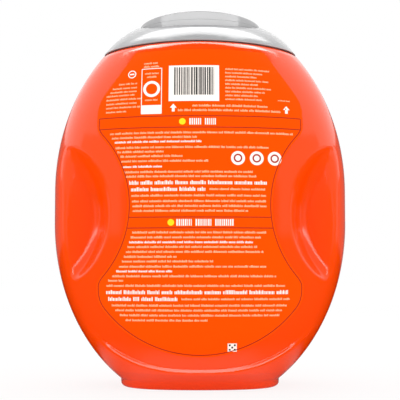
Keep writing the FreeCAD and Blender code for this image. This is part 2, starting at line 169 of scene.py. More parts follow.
def ledge_line(x):
    """Height of the ledge under the label, which sweeps up towards the tub's sides."""
    return LEDGE_LOW + LEDGE_CLIMB * np.clip(np.abs(x) / LEDGE_REACH, 0, 1.2) ** LEDGE_CURVE


def ledge(x, z):
    """How far the wall stands out just below the ledge."""
    line = ledge_line(x)
    below = line - z
    rise = soft_min(np.maximum((below + LEDGE_FALL / 2) / LEDGE_FALL, 0), np.ones_like(below),
                    LEDGE_ROUNDING)
    slope = LEDGE_SLOPE + LEDGE_SIDE_SLOPE * (np.abs(x) / LEDGE_SIDE_REACH) ** LEDGE_SIDE_CURVE
    fade = np.clip(1 - below / np.minimum(LEDGE_FADE, line - FOOT_HEIGHT), 0, 1)
    fade = fade * fade * (3 - 2 * fade)
    ends = np.clip((LEDGE_HALF - np.abs(x)) / LEDGE_END, 0, 1)
    return slope * LEDGE_FALL * rise * fade * ends


def tub_ring(z, turn, inset=0.0):
    """One ring of the tub's skin with its scoops, or of the inside at a wall's distance."""
    z = np.asarray(float(z))
    wide = half_width(z) - inset * steepness(half_width, z)
    deep = half_depth(z) - inset * steepness(half_depth, z)
    x, y = oval_x(wide, squareness(z), turn), oval_y(deep, squareness(z), turn)
    if SCOOP_SPAN[0] < z < SCOOP_SPAN[1]:
        edge = float(np.interp(z, *zip(*SCOOP_EDGES)))
        y = np.sign(y) * soft_min(np.abs(y), scoop_face(x, z, inset), edge)
    if not inset:
        y = y + np.sign(y) * ledge(x, z)
    return np.column_stack([x, y, np.full(turn.shape, float(z))])


def plain_ring(wide, deep, square, z, turn):
    """A level oval ring."""
    return np.column_stack([oval_x(wide, square, turn), oval_y(deep, square, turn),
                            np.full(turn.shape, float(z))])


# Mesh helpers

SHARP_ANGLE = 35.0


def new_object(name, verts, faces, material, smooth_angle=SHARP_ANGLE):
    """A mesh piece from millimetre points, smooth except at edges sharper than the angle."""
    mesh = bpy.data.meshes.new(name)
    mesh.from_pydata((np.asarray(verts) * MM).tolist(), [], faces)
    mesh.validate()
    mesh.materials.append(material)
    mesh.polygons.foreach_set("use_smooth", [True] * len(mesh.polygons))
    mesh.set_sharp_from_angle(angle=math.radians(smooth_angle))
    mesh.update()
    piece = bpy.data.objects.new(name, mesh)
    bpy.context.scene.collection.objects.link(piece)
    return piece


def ring_solid(rings):
    """Verts and faces of closed rings joined in order, with a point closing each end."""
    count = len(rings[0])
    first, last = rings[0].mean(axis=0), rings[-1].mean(axis=0)
    verts = np.vstack([first] + list(rings) + [last])
    faces = []
    for i in range(count):
        j = (i + 1) % count
        faces.append((0, 1 + j, 1 + i))
        for r in range(len(rings) - 1):
            a, b = 1 + r * count, 1 + (r + 1) * count
            faces.append((a + i, a + j, b + j, b + i))
        end = 1 + (len(rings) - 1) * count
        faces.append((len(verts) - 1, end + i, end + j))
    return verts, faces


def ring_loop(rings):
    """Verts and faces of rings whose last joins the first again, such as a tube's wall."""
    count, total = len(rings[0]), len(rings)
    faces = []
    for r in range(total):
        a, b = r * count, (r + 1) % total * count
        for i in range(count):
            j = (i + 1) % count
            faces.append((a + i, a + j, b + j, b + i))
    return np.vstack(rings), faces


def arc(steps, start, end):
    """Evenly spaced angles in radians, from limits in degrees."""
    return [math.radians(start + (end - start) * i / steps) for i in range(steps + 1)]


def spaced(start, end, step):
    """Evenly spaced values from start to end, about a step apart."""
    count = max(1, round(abs(end - start) / step))
    return [start + (end - start) * i / count for i in range(count + 1)]


# Materials

GRAIN_SCALE = 400.0
GRAIN_DEPTH = 0.0002
SHADE_SCALE = 12.0
LID_ROUGHNESS = 0.16
LID_SATIN = 0.5
FACING_UP = (0.75, 0.95)


def linear(red, green, blue):
    """A colour given as the 0 to 255 values that a screen shows."""
    def channel(value):
        value /= 255
        return value / 12.92 if value <= 0.04045 else ((value + 0.055) / 1.055) ** 2.4
    return channel(red), channel(green), channel(blue), 1.0


def mapped(tree, source, start, end, kind="SMOOTHSTEP"):
    """A socket's value, mapped from one run of values onto another."""
    node = tree.nodes.new("ShaderNodeMapRange")
    node.interpolation_type = kind
    for name, value in zip(("From Min", "From Max", "To Min", "To Max"), start + end):
        node.inputs[name].default_value = value
    tree.links.new(source, node.inputs["Value"])
    return node.outputs["Result"]


def computed(tree, operation, *sources):
    """The result of a sum on sockets and fixed numbers."""
    node = tree.nodes.new("ShaderNodeMath")
    node.operation = operation
    for place, source in zip(node.inputs, sources):
        if isinstance(source, float):
            place.default_value = source
        else:
            tree.links.new(source, place)
    return node.outputs["Value"]


def noise(tree, place, scale, detail):
    """Cloudy noise in the piece's own coordinates."""
    node = tree.nodes.new("ShaderNodeTexNoise")
    node.inputs["Scale"].default_value = scale
    node.inputs["Detail"].default_value = detail
    tree.links.new(place.outputs["Object"], node.inputs["Vector"])
    return node.outputs["Fac"]


def plastic(name, colour, roughness, specular=0.5, grain=0.0, shade=0.0):
    """Moulded plastic: a base colour that varies a little, and a fine moulded grain."""
    material = bpy.data.materials.new(name)
    material.use_nodes = True
    tree = material.node_tree
    nodes, links = tree.nodes, tree.links
    shader = nodes["Principled BSDF"]
    shader.inputs["Roughness"].default_value = roughness
    shader.inputs["Specular IOR Level"].default_value = specular
    place = nodes.new("ShaderNodeTexCoord")
    tint = nodes.new("ShaderNodeMix")
    tint.data_type = "RGBA"
    tint.inputs["A"].default_value = colour
    tint.inputs["B"].default_value = tuple(c * (1 - shade) for c in colour[:3]) + (1.0,)
    links.new(noise(tree, place, SHADE_SCALE, 2.0), tint.inputs["Factor"])
    links.new(tint.outputs["Result"], shader.inputs["Base Color"])
    if grain:
        bump = nodes.new("ShaderNodeBump")
        bump.inputs["Strength"].default_value = grain
        bump.inputs["Distance"].default_value = GRAIN_DEPTH
        links.new(noise(tree, place, GRAIN_SCALE, 3.0), bump.inputs["Height"])
        links.new(bump.outputs["Normal"], shader.inputs["Normal"])
    return material


def satin_above(material, roughness, satin):
    """Gives faces that look up in their own piece a satin finish, and keeps the rest glossy."""
    tree = material.node_tree
    place = tree.nodes.new("ShaderNodeTexCoord")
    apart = tree.nodes.new("ShaderNodeSeparateXYZ")
    tree.links.new(place.outputs["Normal"], apart.inputs["Vector"])
    finish = mapped(tree, apart.outputs["Z"], FACING_UP, (roughness, satin), "LINEAR")
    tree.links.new(finish, tree.nodes["Principled BSDF"].inputs["Roughness"])


TUB_ORANGE = plastic("tub_orange", (0.95, 0.062, 0.0, 1), 0.13, grain=0.04, shade=0.03)
LABEL_ORANGE = plastic("label_orange", (0.97, 0.08, 0.0, 1), 0.5, specular=0.02, grain=0.04,
                       shade=0.02)
SILVER = plastic("collar_silver", (0.37, 0.37, 0.375, 1), 0.2, grain=0.03, shade=0.03)
LID_SILVER = plastic("lid_silver", (0.43, 0.43, 0.435, 1), LID_ROUGHNESS, grain=0.03, shade=0.03)
satin_above(LID_SILVER, LID_ROUGHNESS, LID_SATIN)
LATCH_GREY = plastic("latch_grey", linear(150, 152, 156), 0.3, grain=0.05, shade=0.05)
INK_WHITE = plastic("ink_white", linear(255, 246, 238), 0.5, specular=0.2, shade=0.02)
INK_CREAM = plastic("ink_cream", linear(255, 196, 150), 0.5, specular=0.2, shade=0.04)
INK_LINE = plastic("ink_line", linear(170, 30, 0), 0.5, specular=0.2, shade=0.05)
INK_BLACK = plastic("ink_black", linear(38, 36, 36), 0.5, specular=0.2, shade=0.1)
INK_YELLOW = plastic("ink_yellow", linear(255, 222, 20), 0.5, specular=0.2, shade=0.04)


# Tub: its mesh is finest where the scoops' walls and the ledge are

MIDDLE_REACH, MIDDLE_COLUMNS = 62.0, 20
WALL_COLUMN, WALL_COLUMNS = 0.95, 56
END_COLUMNS = 13
LEDGE_ZONE = 42
SCOOP_MARGIN = 8
LEDGE_STEP, SCOOP_STEP, PLAIN_STEP = 0.45, 1.4, 3
INSIDE_SCOOP_STEP, INSIDE_STEP = 5.0, 8


def tub_turns():
    """Turns round the tub, close together where the scoops' walls are."""
    wanted = [MIDDLE_REACH * i / MIDDLE_COLUMNS for i in range(MIDDLE_COLUMNS)]
    wanted += [MIDDLE_REACH + WALL_COLUMN * i for i in range(WALL_COLUMNS)]
    fine = np.linspace(0, math.pi / 2, 4001)
    across = oval_x(BODY_WIDTH / 2, BODY_SQUARE, fine)
    inner = [float(np.interp(-x, -across, fine)) for x in wanted]
    outer = list(np.linspace(0, inner[-1], END_COLUMNS))[:-1]
    quarter = np.array(outer + inner[:0:-1])
    turns = np.concatenate([quarter, math.pi - np.concatenate([[math.pi / 2], quarter[:0:-1]])])
    return np.concatenate([turns, math.pi + turns])


def foot_rings(turn):
    """The pushed-up base, the ring that the tub stands on and its rounded edge."""
    wide, deep = FOOT_WIDTH / 2, FOOT_DEPTH / 2
    base_wide, base_deep = wide - FOOT_LAND, deep - FOOT_LAND
    rings = [plain_ring(base_wide * s, base_deep * s, BODY_SQUARE, BASE_RISE, turn)
             for s in (0.3, 0.7, 0.96)]
    rings.append(plain_ring(base_wide, base_deep, BODY_SQUARE, BASE_RISE * 0.6, turn))
    rings.append(plain_ring(base_wide + FOOT_LAND_SLANT, base_deep + FOOT_LAND_SLANT,
                            BODY_SQUARE, 0, turn))
    for angle in arc(5, -90, 0):
        inset = FOOT_ROUND * (1 - math.cos(angle))
        z = FOOT_ROUND * (1 + math.sin(angle))
        rings.append(plain_ring(wide - inset, float(half_depth(z)) - inset, BODY_SQUARE, z, turn))
    return rings


def shoulder_rings(turn):
    """The shoulder's rounded edge, and the neck's wall up and down again."""
    rings = []
    for angle in arc(4, 0, 90)[1:]:
        inset = SHOULDER_ROUND * (1 - math.cos(angle))
        rings.append(plain_ring(SHOULDER_WIDTH / 2 - inset, SHOULDER_DEPTH / 2 - inset, RIM_SQUARE,
                                SHOULDER_HEIGHT - SHOULDER_ROUND * (1 - math.sin(angle)), turn))
    top = SHOULDER_HEIGHT + NECK_HEIGHT
    for inset, z in ((0, SHOULDER_HEIGHT), (0, top - NECK_EASE), (NECK_EASE, top),
                     (NECK_WALL - NECK_EASE, top), (NECK_WALL, top - NECK_EASE),
                     (NECK_WALL, SHOULDER_HEIGHT - TUB_WALL)):
        rings.append(plain_ring(NECK_WIDTH / 2 - inset, NECK_DEPTH / 2 - inset, RIM_SQUARE, z, turn))
    return rings


def tub_rings():
    """The whole shell: under the foot, up the outside, over the neck and down the inside."""
    turn = tub_turns()
    low, high = SCOOP_SPAN[0] + SCOOP_MARGIN, SCOOP_SPAN[1] - SCOOP_MARGIN
    heights = spaced(FOOT_HEIGHT, LEDGE_ZONE, LEDGE_STEP) + spaced(LEDGE_ZONE, low, PLAIN_STEP)[1:]
    heights += spaced(low, high, SCOOP_STEP)[1:]
    heights += spaced(high, SHOULDER_HEIGHT - SHOULDER_ROUND, PLAIN_STEP)[1:]
    rings = foot_rings(turn) + [tub_ring(z, turn) for z in heights] + shoulder_rings(turn)
    heights = spaced(SHOULDER_HEIGHT - TUB_WALL, SCOOP_SPAN[1], INSIDE_STEP)
    heights += spaced(SCOOP_SPAN[1], SCOOP_SPAN[0], INSIDE_SCOOP_STEP)[1:]
    heights += spaced(SCOOP_SPAN[0], FOOT_HEIGHT + TUB_WALL, INSIDE_STEP)[1:]
    rings += [tub_ring(z, turn, TUB_WALL) for z in heights]
    for share in (0.96, 0.6, 0.3):
        rings.append(plain_ring((FOOT_WIDTH - FOOT_LAND) / 2 * share,
                                (FOOT_DEPTH - FOOT_LAND) / 2 * share, BODY_SQUARE,
                                BASE_RISE + TUB_WALL, turn))
    return rings


tub = new_object("tub_shell", *ring_solid(tub_rings()), TUB_ORANGE, smooth_angle=50)
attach(tub, "tub")
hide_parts("tub_body")


# The label's skin: a point of the tub's front or back, from where it lies across and up

LABEL_FILM = 0.25
LABEL_SUNK = -0.05
LABEL_COLUMNS = 61
LABEL_STEP = 2.0
LABEL_TIP, LABEL_TIP_ROWS = 14, 12
FAR_OUT = SCOOP_REACH
HALVINGS = 40


def skin_depth(x, z):
    """How far the plain tub's face stands from its middle plane, found by halving."""
    wide, deep, square = half_width(z), half_depth(z), squareness(z)
    low, high = np.zeros_like(x), np.full_like(x, math.pi / 2)
    for _ in range(HALVINGS):
        middle = (low + high) / 2
        beyond = oval_x(wide, square, middle) > np.abs(x)
        low, high = np.where(beyond, middle, low), np.where(beyond, high, middle)
    return oval_y(deep, square, (low + high) / 2)


def skin(x, z, lift, face=-1):
    """Points on the label's face (face -1 is the back), lifted square to the wall."""
    x, z = np.asarray(x, float), np.asarray(z, float)
    step = 0.3
    depth = skin_depth(x, z)
    lean_x = (skin_depth(x + step, z) - skin_depth(x - step, z)) / (2 * step)
    lean_z = (skin_depth(x, z + step) - skin_depth(x, z - step)) / (2 * step)
    size = np.sqrt(1 + lean_x ** 2 + lean_z ** 2)
    return np.column_stack([x - lean_x / size * lift, face * (depth + lift / size),
                            z - lean_z / size * lift])


def label_half(z):
    """Half width of the label at a height, rounded where its edges meet."""
    run = (LABEL_HALF - LABEL_TOP_HALF) / (LABEL_TOP - LABEL_SLANT_END)
    slant = LABEL_TOP_HALF + (LABEL_TOP - z) * run
    half = soft_min(slant, np.full_like(z, LABEL_HALF), LABEL_SHOULDER_ROUND)
    drop = z - LABEL_WAIST_LEVEL
    waist = SCOOP_REACH - np.sqrt(np.maximum(LABEL_WAIST ** 2 - drop ** 2, 0))
    half = soft_min(half, np.where(np.abs(drop) < LABEL_WAIST, waist, FAR_OUT), LABEL_WAIST_ROUND)
    middle = LABEL_BOTTOM + LABEL_SWEEP
    sweep = np.sqrt(np.maximum(LABEL_SWEEP ** 2 - (np.minimum(z, middle) - middle) ** 2, 0))
    return soft_min(half, np.where(z < middle, sweep, FAR_OUT), LABEL_WAIST_ROUND)


def make_label(name, face, node):
    """The label film: a grid between its edges, with a thin turned-in rim."""
    tip = [LABEL_BOTTOM + 0.05 + LABEL_TIP * (i / LABEL_TIP_ROWS) ** 2 for i in range(LABEL_TIP_ROWS)]
    heights = np.array(tip + spaced(LABEL_BOTTOM + LABEL_TIP + 0.1, LABEL_TOP, LABEL_STEP))
    columns = np.linspace(-1, 1, LABEL_COLUMNS)
    halves = np.maximum(label_half(heights), 0.5)
    x = (columns[None, :] * halves[:, None]).ravel()
    z = np.repeat(heights, len(columns))
    outer = skin(x, z, LABEL_FILM, face)
    inner = skin(x, z, LABEL_SUNK, face)
    rows, width = len(heights), len(columns)
    below = rows * width
    faces = []
    for level, flip in ((0, face > 0), (below, face < 0)):
        for r in range(rows - 1):
            for c in range(width - 1):
                a = level + r * width + c
                quad = (a, a + 1, a + width + 1, a + width)
                faces.append(quad[::-1] if flip else quad)
    rim = list(range(width)) + [r * width + width - 1 for r in range(1, rows)]
    rim += [(rows - 1) * width + c for c in range(width - 2, -1, -1)]
    rim += [r * width for r in range(rows - 2, 0, -1)]
    for a, b in zip(rim, rim[1:] + rim[:1]):
        quad = (b, a, a + below, b + below)
        faces.append(quad[::-1] if face > 0 else quad)
    label = new_object(name, np.vstack([outer, inner]), faces, LABEL_ORANGE, smooth_angle=50)
    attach(label, "tub")
    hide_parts(node)


make_label("back_label_film", -1, "back_label")
make_label("front_label_film", 1, "front_label")


# Print: flat shapes on the back label, in millimetres across and up

INK_LIFT = 0.03
INK_STEP = 0.02
INK_CUT = 3
BOLD_STROKE, FINE_STROKE = (0.12, 0.24), (0.15, 0.34)
STROKES_IN_WORD = (5, 18)
STROKE_GAP, WORD_GAP = 0.13, 0.45
LOW_STROKE = 0.74
TALL_STROKES = 0.3


class Ink:
    """Collects flat shapes laid on the back label, and makes one piece of them."""

    def __init__(self):
        self.x, self.z, self.faces = [], [], []

    def strip(self, left, right):
        """A band between two runs of points of the same length."""
        base = len(self.x)
        for (x0, z0), (x1, z1) in zip(left, right):
            self.x += [x0, x1]
            self.z += [z0, z1]
        for i in range(len(left) - 1):
            a = base + 2 * i
            self.faces.append((a, a + 1, a + 3, a + 2))

    def bar(self, x0, x1, low, high):
        """A rectangle, cut into short lengths so that it follows the wall."""
        count = max(1, math.ceil(abs(x1 - x0) / INK_CUT))
        across = [x0 + (x1 - x0) * i / count for i in range(count + 1)]
        rows = max(1, math.ceil((high - low) / INK_CUT))
        up = [low + (high - low) * i / rows for i in range(rows + 1)]
        for bottom, top in zip(up, up[1:]):
            self.strip([(x, top) for x in across], [(x, bottom) for x in across])

    def path(self, points, width):
        """A line of even width through points."""
        left, right = [], []
        for i, (x, z) in enumerate(points):
            (ax, az), (bx, bz) = points[max(i - 1, 0)], points[min(i + 1, len(points) - 1)]
            reach = math.hypot(bx - ax, bz - az)
            side_x, side_z = -(bz - az) / reach * width / 2, (bx - ax) / reach * width / 2
            left.append((x + side_x, z + side_z))
            right.append((x - side_x, z - side_z))
        self.strip(left, right)

    def ring(self, x, z, inner, outer):
        """A flat ring, or a disc where the inner radius is 0."""
        turns = arc(24, 360, 0)
        self.strip([(x + outer * math.cos(t), z + outer * math.sin(t)) for t in turns],
                   [(x + inner * math.cos(t), z + inner * math.sin(t)) for t in turns])

    def words(self, x0, x1, z, tall, rng, bold=False):
        """A line of print as upright strokes of uneven height, with gaps between words."""
        x, low = x0, z - tall / 2
        thin, thick = BOLD_STROKE if bold else FINE_STROKE
        while x < x1 - tall:
            for _ in range(rng.randint(*STROKES_IN_WORD)):
                width = tall * rng.uniform(thin, thick)
                if x + width > x1:
                    break
                high = low + tall * (1.0 if bold or rng.random() < TALL_STROKES else LOW_STROKE)
                self.bar(x, x + width, low, high)
                x += width + tall * STROKE_GAP
            x += tall * WORD_GAP

    def piece(self, name, material, lift):
        """Makes the piece from what was collected."""
        points = skin(self.x, self.z, LABEL_FILM + lift)
        flipped = [face[::-1] for face in self.faces]
        ink = new_object(name, points, flipped, material, smooth_angle=60)
        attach(ink, "tub")


white, cream, line, black, yellow = Ink(), Ink(), Ink(), Ink(), Ink()
rng = random.Random(57)

LINE_WIDTH = 0.7
LINE_INSET = 1.7
PANEL_TOP, PANEL_HEADER_FOOT = 217.1, 208.0
LOWER_HEADER_TOP, LOWER_HEADER_FOOT = 137.5, 129.1
HEADER_TALL = 5.2
HEADER_SIGN = 2.6
# Headers as (height, left, right, middle of the sign)
HEADERS = ((212.6, -8.3, 17.7, -13.8), (133.3, -18.3, 26.6, -22.6))
SIGN_LEVEL, SIGNS = 183.6, (29.6, 44.3, 58.5)
SIGN_DISC, SIGN_LINE = 5.5, (2.2, 3.4)

TINY, SMALL, TALL = 1.5, 1.75, 3.1
# Lines of print as (height, left, right, letter height, ink)
UPPER_PRINT = [
    (203.9, -71.0, 73.4, SMALL, cream), (200.3, -69.5, -2.0, SMALL, cream),
    (196.8, -67.1, 1.2, SMALL, white), (192.3, -66.3, 53.8, SMALL, cream),
    (188.9, -64.8, -27.9, SMALL, cream), (185.3, -62.4, -13.0, SMALL, cream),
    (181.5, -61.6, 6.7, SMALL, cream), (177.1, -60.8, -29.4, SMALL, white),
    (172.9, -59.3, 41.2, SMALL, cream), (169.4, -57.7, 44.4, SMALL, cream),
    (164.5, -55.3, 53.0, TALL, white), (159.3, -53.8, 5.1, TALL, white),
    (159.3, 7.4, 53.4, SMALL, cream), (154.4, -53.4, 52.8, SMALL, cream),
    (150.0, -53.0, 52.2, SMALL, cream), (146.2, -52.6, 52.0, SMALL, cream),
    (142.5, -52.4, 37.3, SMALL, cream)]
LOWER_PRINT = [
    (125.7, -52.6, 51.8, SMALL, cream), (121.9, -53.9, 47.5, SMALL, cream),
    (118.1, -55.1, 41.2, SMALL, white), (114.5, -56.4, 44.4, SMALL, cream),
    (110.7, -57.7, 49.8, SMALL, cream), (106.9, -59.3, -17.7, SMALL, cream),
    (103.3, -60.8, 10.6, SMALL, cream), (99.3, -63.2, 52.2, SMALL, cream),
    (95.6, -65.5, -20.0, SMALL, white), (91.8, -68.7, 60.0, SMALL, cream),
    (88.4, -72.0, -60.0, SMALL, cream), (84.4, -73.4, 67.9, SMALL, cream),
    (79.3, -73.8, 69.5, TALL, white), (74.0, -72.2, -16.9, TALL, white),
    (74.0, -14.4, 70.6, SMALL, cream), (69.0, -69.4, 68.4, SMALL, cream),
    (65.2, -66.6, 65.0, SMALL, cream), (61.3, -63.0, 62.6, SMALL, cream),
    (57.4, -58.4, 5.9, SMALL, cream)]
TOP_PRINT = [
    (253.1, -43.8, -32.8, TINY, cream), (250.1, -42.2, -34.4, TINY, cream),
    (230.6, -43.4, -33.2, TINY, cream), (262.1, -44.8, -32.5, 1.6, cream),
    (259.1, -44.8, -32.5, 1.6, cream), (245.3, -65.0, -50.0, TINY, cream),
    (241.8, -70.0, -50.0, TINY, cream), (238.7, -72.0, -50.0, TINY, cream),
    (235.7, -75.0, -52.0, TINY, cream), (232.3, -75.0, -46.0, TINY, cream),
    (228.8, -75.0, -50.0, TINY, cream), (225.5, -75.0, -47.0, TINY, cream),
    (222.0, -75.0, -58.0, TINY, cream)]
TOP_PRINT += [(256.1 - 3.16 * i, 20.0, end, TINY, cream)
              for i, end in enumerate((57, 50, 45, 55, 48, 57, 52, 46, 49))]
TOP_PRINT += [(231.4, 62.0, 72.0, 1.1, cream), (225.5, -5.9, 53.7, 1.8, cream),
              (221.8, -17.3, 65.0, 1.8, cream)]

# Places of the shapes above the panel, as (left, right, low, high)
CODE_CARD = (-24.7, 15.1, 229.2, 259.0)
CODE_BARS = (-20.4, 11.1, 234.3, 257.4)
BAR_WIDTHS, BAR_GAPS = (0.4, 0.6, 0.9, 1.2), (0.4, 0.6, 0.9)
FRAME_BOX = (-46.3, -30.4, 219.3, 257.2)
FRAME_BAND_TOP = 226.3
FRAME_LINE = 0.3
FRAME_RING = (-38.3, 239.8, 4.6, 6.8)
SMALL_RING = (-54.4, 253.4, 2.6, 3.4)
SMALL_RING_BAR = (-56.2, -52.6, 252.8, 254.0)
ARROWS, ARROW_TIP, ARROW_NECK, ARROW_FOOT = (-21, 68.7), 227, 223.8, 220.7
ARROW_HALF, ARROW_STEM = 2.7, 1.1
MARK_CARD = (21.7, 28.9, 32.6, 39.1)
MARK_SQUARE = 1.4
MARK_START, MARK_STEP = (22.6, 33.4), (2.0, 1.8)


def border(inset, top):
    """The right half of the label's outline from a height down to its lowest point, moved in."""
    z = LABEL_BOTTOM + (top - LABEL_BOTTOM) * np.linspace(1, 0, 400) ** 1.7
    half = label_half(z)
    keep = half > 2
    z, half = np.append(z[keep], LABEL_BOTTOM), np.append(half[keep], 0)
    along = np.concatenate([[0], np.cumsum(np.hypot(np.diff(half), np.diff(z)))])
    even = np.linspace(0, along[-1], 150)
    half, z = np.interp(even, along, half), np.interp(even, along, z)
    run_x, run_z = np.gradient(half), np.gradient(z)
    run_z[-1], run_x[-1] = 0, -1
    size = np.hypot(run_x, run_z)
    points = [(h + rz / s * inset, v - rx / s * inset)
              for h, v, rx, rz, s in zip(half, z, run_x, run_z, size)]
    return points[:-1] + [(0.0, LABEL_BOTTOM + inset)]


def draw_panel():
    """The framed panel between the scoops, with its two header bars."""
    edge = [p for p in border(LINE_INSET, PANEL_TOP + 3) if p[1] < PANEL_TOP]
    top = edge[0][0]
    for side in (-1, 1):
        line.path([(side * x, z) for x, z in [(top, PANEL_TOP)] + edge], LINE_WIDTH)
    for height in (PANEL_TOP, PANEL_HEADER_FOOT, LOWER_HEADER_TOP, LOWER_HEADER_FOOT):
        reach = float(label_half(np.array([height]))[0]) - LINE_INSET
        line.bar(-reach, reach, height - LINE_WIDTH / 2, height + LINE_WIDTH / 2)


def draw_lines(table):
    """Lines of small print."""
    for height, left, right, tall, ink in table:
        ink.words(left, right, height, tall, rng)


def draw_headers():
    """Headers as rows of bold bars, each after a small round sign, and the panel's ring signs."""
    for height, left, right, sign in HEADERS:
        white.words(left, right, height, HEADER_TALL, rng, bold=True)
        yellow.ring(sign, height, 0, HEADER_SIGN)
    for x in SIGNS:
        white.ring(x, SIGN_LEVEL, 0, SIGN_DISC)
        line.ring(x, SIGN_LEVEL, *SIGN_LINE)


def draw_shapes():
    """The shapes above the panel: bars, a framed ring, a small ring and arrows."""
    white.bar(*CODE_CARD)
    x, end, low, high = CODE_BARS
    while x < end:
        width = rng.choice(BAR_WIDTHS)
        black.bar(x, min(x + width, end), low, high)
        x += width + rng.choice(BAR_GAPS)
    left, right, low, high = FRAME_BOX
    white.bar(left, right, low, FRAME_BAND_TOP)
    for x in (left, right):
        white.bar(x - FRAME_LINE, x + FRAME_LINE, low, high)
    for z in (high, low):
        white.bar(left, right, z - FRAME_LINE, z + FRAME_LINE)
    white.ring(*FRAME_RING)
    white.ring(*SMALL_RING)
    white.bar(*SMALL_RING_BAR)
    for x in ARROWS:
        tip = (x, ARROW_TIP)
        white.strip([tip, (x + ARROW_HALF, ARROW_NECK)], [tip, (x - ARROW_HALF, ARROW_NECK)])
        white.bar(x - ARROW_STEM, x + ARROW_STEM, ARROW_FOOT, ARROW_NECK)


def draw_mark():
    """A small chequered square near the label's lowest point."""
    white.bar(*MARK_CARD)
    for i in range(3):
        for j in range(3):
            if (i + j) % 2 == 0:
                x, z = MARK_START[0] + MARK_STEP[0] * i, MARK_START[1] + MARK_STEP[1] * j
                black.bar(x, x + MARK_SQUARE, z, z + MARK_SQUARE)


draw_panel()
draw_lines(UPPER_PRINT + LOWER_PRINT)
draw_headers()
draw_shapes()
draw_lines(TOP_PRINT)
draw_mark()
for level, (ink, name, material) in enumerate((
        (white, "print_white", INK_WHITE), (cream, "print_cream", INK_CREAM),
        (line, "print_lines", INK_LINE), (yellow, "print_yellow", INK_YELLOW),
        (black, "print_black", INK_BLACK))):
    ink.piece(name, material, INK_LIFT + INK_STEP * level)


# Collar

COLLAR_LOW = 281.4
COLLAR_BAND = 2.0
COLLAR_RISE = 21.5
COLLAR_HALF = (82.6, 71.8)
COLLAR_TOP_HALF = (54.3, 45.75)
COLLAR_SWELL = 2.2
COLLAR_EASE = 0.4
COLLAR_WALL = 2.0
COLLAR_SLOPE_DROP = 1.2
WELL_RADIUS = 54.5
WELL_FLOOR = 293.0
WELL_EDGE = 1.04
WELL_EASE = 0.5
SKIRT_GAP = 0.3
SKIRT_WALL = 1.6
SKIRT_LIFT = 0.1
TURRET_RADIUS = 51.7
TURRET_WALL = 1.8
TURRET_TOP = 303.0
TURRET_ROOT = 0.2
MOUTH_RADIUS = 42.4
MOUTH_WALL = 1.8
MOUTH_LIP = 3.0
MOUTH_EASE = 0.4
LATCH_TURN = 28.0
WINDOW_HALF = 8.4
WINDOW_SPAN = (296.4, 302.2)
COLUMNS = 192


def collar_rings():
    """Rings from the collar's lower edge over its slope, down into the well, and back inside."""
    turn = np.linspace(0, 2 * math.pi, COLUMNS, endpoint=False)

    def slope(inset, low):
        """Edge and top of the slope, for the outside or the inside."""
        edge = plain_ring(COLLAR_HALF[0] - inset, COLLAR_HALF[1] - inset, RIM_SQUARE, low, turn)
        top = plain_ring(COLLAR_TOP_HALF[0] - inset, COLLAR_TOP_HALF[1] - inset, RIM_SQUARE,
                         low + COLLAR_RISE, turn)
        return edge, top

    def meet(edge, top, radius):
        """Points at which the slope reaches a radius, found by halving."""
        low, high = np.zeros(COLUMNS), np.full(COLUMNS, 1.3)
        for _ in range(HALVINGS):
            middle = (low + high) / 2
            spot = edge + (top - edge) * middle[:, None]
            outside = np.hypot(spot[:, 0], spot[:, 1]) > radius
            low, high = np.where(outside, middle, low), np.where(outside, high, middle)
        return edge + (top - edge) * ((low + high) / 2)[:, None]

    edge, top = slope(0, COLLAR_LOW + COLLAR_BAND)
    corner = meet(edge, top, WELL_RADIUS)
    foot = edge.copy()
    foot[:, 2] = COLLAR_LOW + COLLAR_EASE
    chord = corner - foot
    run = np.hypot(chord[:, 0], chord[:, 1])
    length = np.hypot(run, chord[:, 2])
    outward = np.column_stack([-chord[:, :2] / run[:, None] * (chord[:, 2] / length)[:, None],
                               run / length])
    angle = np.arctan2(corner[:, 1], corner[:, 0])

    def swelling(share):
        """A point of the domed slope, which swells out between its edge and the well."""
        return foot + chord * share + outward * COLLAR_SWELL * 4 * share * (1 - share)

    def around(radius, z):
        """A round ring whose points stand where those of the slope do."""
        return np.column_stack([radius * np.cos(angle), radius * np.sin(angle),
                                np.broadcast_to(z, angle.shape)])

    low_edge = foot.copy()
    low_edge[:, :2] += chord[:, :2] / run[:, None] * COLLAR_EASE
    low_edge[:, 2] = COLLAR_LOW
    last = 1 - WELL_EDGE / length
    rings = [low_edge] + [swelling((last * share)[:, None]) for share in np.linspace(0, 1, 17)]
    before, after = rings[-1], around(WELL_RADIUS, corner[:, 2] - WELL_EDGE)
    for share in (0, 0.25, 0.5, 0.75, 1):
        rings.append(before * (1 - share) ** 2 + 2 * corner * share * (1 - share) + after * share ** 2)
    lip_outer, lip_top = MOUTH_RADIUS + MOUTH_WALL, WELL_FLOOR + MOUTH_LIP
    under = WELL_FLOOR - COLLAR_WALL
    for radius, z in ((WELL_RADIUS, WELL_FLOOR + WELL_EASE), (WELL_RADIUS - WELL_EASE, WELL_FLOOR),
                      (lip_outer, WELL_FLOOR), (lip_outer, lip_top - MOUTH_EASE),
                      (lip_outer - MOUTH_EASE, lip_top), (MOUTH_RADIUS + MOUTH_EASE, lip_top),
                      (MOUTH_RADIUS, lip_top - MOUTH_EASE), (MOUTH_RADIUS, under),
                      (WELL_RADIUS + COLLAR_WALL, under)):
        rings.append(around(radius, z))
    edge_in, top_in = slope(COLLAR_WALL, COLLAR_LOW + COLLAR_BAND - COLLAR_SLOPE_DROP)
    bottom_in = edge_in.copy()
    bottom_in[:, 2] = COLLAR_LOW
    return rings + [meet(edge_in, top_in, WELL_RADIUS + COLLAR_WALL), edge_in, bottom_in]


def turned(profile):
    """Rings from (radius, height) pairs."""
    angle = np.linspace(0, 2 * math.pi, COLUMNS, endpoint=False)
    return [np.column_stack([r * np.cos(angle), r * np.sin(angle), np.full(COLUMNS, float(z))])
            for r, z in profile]


